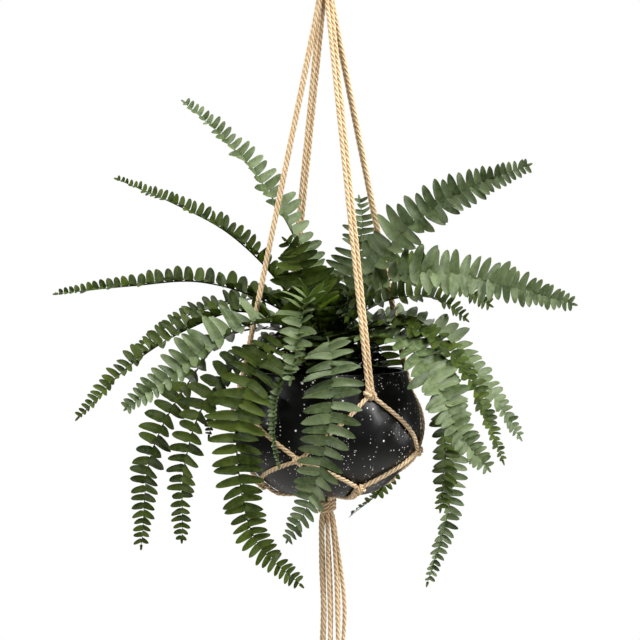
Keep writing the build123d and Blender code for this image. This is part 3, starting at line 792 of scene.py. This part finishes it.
# Half width, how far the blade turns to the front, and places of its stem from the centre of the rim, in
# millimetres.
fronds = {
    "frond_top_left": [(22, 0.6, [(-10, 0, 50), (-35, 10, 150), (-75, 25, 220), (-130, 40, 285),
                                  (-175, 50, 325)])],
    "frond_left_high": [(18, 0.6, [(-12, 4, 42), (-50, 8, 95), (-80, 10, 130), (-120, 15, 165),
                                   (-185, 20, 200), (-255, 35, 230)])],
    "frond_left_long": [(22, 0.6, [(-14, 12, 30), (-45, 22, 64), (-90, 32, 88), (-155, 40, 105),
                                   (-240, 50, 100), (-335, 65, 90)])],
    "frond_left_arch": [(22, 0.6, [(-20, 0, 30), (-60, 6, 58), (-105, 8, 70), (-165, 0, 50),
                                   (-230, -18, 10), (-295, -30, -55)])],
    "frond_left_pale": [(30, 0.7, [(-18, -12, 28), (-50, -38, 55), (-86, -64, 58), (-130, -76, 36),
                                   (-180, -84, -2), (-230, -92, -38)])],
    "frond_left_drop": [(24, 0.8, [(-20, 10, 25), (-65, 20, 48), (-115, 22, 42), (-170, 15, -20),
                                   (-210, 10, -95), (-225, 10, -215)])],
    "frond_left_hang": [(22, 0.7, [(-18, -10, 18), (-50, -32, 30), (-88, -54, 22), (-140, -60, -30),
                                   (-165, -62, -100), (-170, -60, -195)])],
    "frond_front_left": [(28, 0.5, [(-10, -16, 18), (-42, -58, 34), (-74, -88, 16), (-100, -106, -40),
                                    (-100, -112, -115), (-80, -110, -190), (-30, -104, -240)])],
    "frond_front": [(30, 0.2, [(0, -14, 25), (0, -60, 42), (5, -108, 16), (5, -134, -40), (-5, -138, -90),
                               (-25, -132, -150), (-45, -122, -185)])],
    "frond_top_back": [(26, 0.6, [(6, 8, 40), (22, 34, 90), (38, 54, 140), (44, 62, 180), (40, 64, 208)])],
    "frond_top_right": [(22, 0.6, [(12, 0, 44), (35, -2, 90), (70, -4, 140), (115, -6, 185), (175, -10, 220),
                                   (240, -10, 245)])],
    "frond_right_long": [(22, 0.6, [(16, -4, 34), (45, -12, 80), (82, -22, 112), (145, -30, 115),
                                    (220, -36, 100), (290, -40, 80)])],
    "frond_right_arch": [(22, 0.6, [(16, 0, 26), (50, -8, 54), (88, -16, 62), (140, -16, 44), (180, -20, -5),
                                    (230, -20, -80)])],
    "frond_right_pale": [(30, 0.7, [(14, -12, 20), (55, -46, 40), (95, -72, 30), (125, -84, -10),
                                    (150, -92, -65), (185, -92, -108)])],
    "frond_right_hang": [(28, 0.7, [(18, 4, 22), (60, 0, 44), (102, -6, 34), (130, -14, -15), (140, -20, -85),
                                    (135, -22, -165)])],
    "frond_right_trail": [(22, 0.8, [(14, 12, 26), (55, 52, 52), (105, 72, 52), (145, 77, -5), (155, 72, -90),
                                     (150, 66, -180), (125, 60, -270)])],
    "small_fronds_left": [
        (16, 0.5, [(-16, 16, 34), (-70, 44, 84), (-130, 52, 76), (-175, 50, 62), (-235, 50, 22)]),
        (14, 0.7, [(-18, 12, 22), (-64, 30, 36), (-104, 40, 14), (-133, 46, -25), (-145, 46, -85)]),
    ],
    "small_fronds_right": [
        (18, 0.5, [(10, 18, 40), (45, 52, 85), (90, 66, 112), (140, 80, 112), (205, 88, 75)]),
        (16, 0.5, [(18, -8, 26), (62, -36, 54), (112, -46, 46), (160, -54, 2), (185, -58, -52),
                   (205, -62, -103)]),
        (13, 0.4, [(14, 8, 36), (48, 6, 72), (95, 2, 88), (135, 6, 84), (168, 10, 60)]),
    ],
    "small_fronds_front": [
        (22, 0.3, [(-6, -12, 34), (-14, -36, 78), (-25, -62, 82), (-32, -94, 44), (-42, -118, -6)]),
        (10, 0.2, [(-10, -18, 18), (-28, -62, 14), (-45, -93, 2), (-58, -108, -28), (-60, -119, -66),
                   (-55, -119, -100)]),
    ],
    "small_fronds_centre": [
        (18, 0.5, [(-8, -6, 44), (-22, -18, 84), (-30, -27, 114), (-36, -33, 142), (-50, -35, 156)]),
        (12, 0.5, [(6, -8, 40), (18, -24, 72), (34, -36, 80)]),
        (12, 0.5, [(3, 4, 46), (6, 14, 92), (14, 22, 112)]),
        (12, 0.5, [(-5, 8, 42), (-16, 28, 78), (-36, 40, 92)]),
    ],
    "small_fronds_back": [
        (22, 0.3, [(4, 20, 28), (28, 76, 45), (58, 126, 25), (88, 146, -75), (70, 144, -165),
                   (32, 134, -196)]),
        (24, 0.2, [(-2, 20, 28), (-8, 84, 46), (-14, 134, 16), (-18, 152, -60), (-20, 150, -130)]),
        (18, 0.2, [(-12, 14, 24), (-46, 42, 40), (-84, 74, 12), (-104, 92, -50), (-106, 92, -105)]),
    ],
}

# Fronds that take the pale leaf, whose paler colour is painted sheen.
pale = {"frond_left_pale", "frond_right_pale", "frond_top_back", "frond_top_left", "small_fronds_front",
        "frond_front", "frond_top_right", "frond_right_long", "frond_right_arch", "frond_right_trail"}
# How a frond grows, where it isn't the usual way: rise is the degrees its leaflets fold up, spacing their
# distance as a share of their length, longer their length, and broad their width. The leaflets start at start
# millimetres, facing is how far the blade turns to the front, and deep is how much painted shade darkens it.
habits = {
    "frond_top_right": [dict(rise=20, spacing=0.34, longer=1.3, facing=1.15, deep=0.25)],
    "frond_left_high": [dict(rise=36, spacing=0.46, longer=0.9)],
    "frond_left_long": [dict(rise=38, spacing=0.6, longer=0.78, facing=0.6, broad=1.3)],
    "frond_right_long": [dict(rise=16, spacing=0.33, longer=1.3, facing=1.1, deep=0.1)],
    "frond_top_left": [dict(rise=32, spacing=0.44, longer=1.05)],
    "frond_top_back": [dict(rise=24, spacing=0.33, longer=1.1, broad=0.78, deep=0.1)],
    "frond_right_arch": [dict(rise=14, spacing=0.37, longer=1.1, deep=0.1)],
    "frond_right_trail": [dict(rise=30, spacing=0.44, longer=1.1, deep=0.05)],
    "frond_left_arch": [dict(rise=30, spacing=0.4)],
    "frond_left_pale": [dict(rise=28, spacing=0.33)],
    "frond_left_drop": [dict(rise=14, spacing=0.44, longer=1.2)],
    "frond_left_hang": [dict(rise=14, spacing=0.44, longer=1.2)],
    "frond_right_pale": [dict(rise=14, spacing=0.3, longer=0.97, facing=0.8)],
    "frond_right_hang": [dict(spacing=0.34)],
    "frond_front": [dict(rise=8, spacing=0.37, longer=0.92, start=90, broad=0.88, deep=0.2)],
    "frond_front_left": [dict(rise=10, spacing=0.37, longer=0.97, broad=0.92)],
    "small_fronds_left": [dict(rise=26, spacing=0.38, longer=1.2), dict(rise=16, spacing=0.4, longer=1.1)],
    "small_fronds_front": [dict(rise=42, spacing=0.31, longer=1.2), dict(rise=55, spacing=0.4)],
    "small_fronds_centre": [dict(rise=6, spacing=0.27, longer=1.85, start=25, facing=1.5),
                            dict(rise=24, spacing=0.37, longer=1.5, deep=0.35),
                            dict(rise=20, spacing=0.37, longer=1.5, deep=0.35),
                            dict(rise=20, spacing=0.37, longer=1.5, deep=0.35)],
    "small_fronds_right": [dict(rise=22, spacing=0.3, longer=1.5, facing=0.9, broad=0.85),
                           dict(rise=14, spacing=0.36, longer=1.2),
                           dict(rise=25, spacing=0.34, longer=1.7, facing=0.7, broad=0.8)],
    "small_fronds_back": [dict(spacing=0.38, deep=0.25)] * 3,
}


def innerFrond(halfWidth, facing, turn, stations):
    # Stations: distance from the middle, how much further round, and height.
    places = [(far * math.sin(turn + more), -far * math.cos(turn + more), height)
              for far, more, height in stations]
    return halfWidth, facing, places


# Short inner fronds, half hidden by the others: some stand, some lean, and some lie low over the rim.
standing = [(0.2, 0), (0.95, 12), (1.7, -8), (2.5, 8), (3.3, -4), (4.1, 12), (4.9, -8), (5.6, 6)]
leaning = [(0.75, 4), (1.3, 0), (2.2, 6), (2.9, 0), (3.6, 8), (4.4, 2), (5.2, 4), (6.0, 0)]
inner = [innerFrond(16, 0.2, turn, [(4, 0, 30), (16, 0, 58 + more), (34, 0.2, 74 + more),
                                    (48, 0.3, 66 + more)]) for turn, more in standing]
inner += [innerFrond(19, 0.1, turn, [(8, 0, 22), (28, 0, 36 + more), (48, 0.15, 36 + more),
                                     (63, 0.2, 20 + more)]) for turn, more in leaning]
inner += [innerFrond(17, 0.1, turn, [(10, 0, 16), (32, 0, 22), (54, 0.1, 19), (72, 0.15, 9)])
          for turn in (0.25, 0.55, 1.0, 1.75, 5.6)]
inner += [innerFrond(15, 0.1, turn, [(8, 0, 12), (32, 0, 12), (56, 0, 9), (76, 0, 5)])
          for turn in (6.0, 0.1, 0.4, 0.75, 1.2, 5.3)]
fronds["small_fronds_centre"] += inner
# The inner fronds, deep in the plant, get the most painted shade.
habits["small_fronds_centre"] += [dict(rise=16, spacing=0.35, longer=1.3, start=14, deep=0.72)] * len(inner)
for node, members in fronds.items():
    ways = habits.get(node, [{}] * len(members))
    parts = [part for member, way in zip(members, ways) for part in frondParts(*member, **way)]
    material, slot = (leafPaintedSheen, "leaf_pale") if node in pale else (leafGreen, "leaf_green")
    makePiece(f"leafy_{node}", parts, material, "fern", slot, node, sharp=55)
print("fronds made")


# The steel ring and the plastic grow pot keep their CAD shapes.
for node, material in (("hanging_ring", steel), ("grow_pot", plastic)):
    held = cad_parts[node]
    if not held.material_slots:
        held.data.materials.append(material)
    for place in held.material_slots:
        place.material = material

# A round slab for a floor, 1.75 m below the hook.
azimuth = np.linspace(0, 2 * math.pi, 96, endpoint=False)
radii = np.array([0.01, 0.6, 1.2, 1.8, 1.83, 1.8, 0.01])[:, None]
heights = np.array([0, 0, 0, 0, -0.01, -0.02, -0.02])[:, None] + 0 * azimuth
rings = np.stack([radii * np.cos(azimuth), -radii * np.sin(azimuth), -1.75 + heights], axis=-1)
part = wrapPart(rings[::-1, ::-1], np.arange(97) / 96, np.linspace(0, 1, 7))
mesh = bpy.data.meshes.new("floor")
mesh.from_pydata(part[0].tolist(), [], [face for faceSet in part[1] for face in faceSet.tolist()])
mesh.materials.append(plainMaterial("floor_paint", tone(196, 195, 192), tone(206, 205, 202), 6.0, 0.8))
floor = bpy.data.objects.new("floor", mesh)
bpy.context.scene.collection.objects.link(floor)
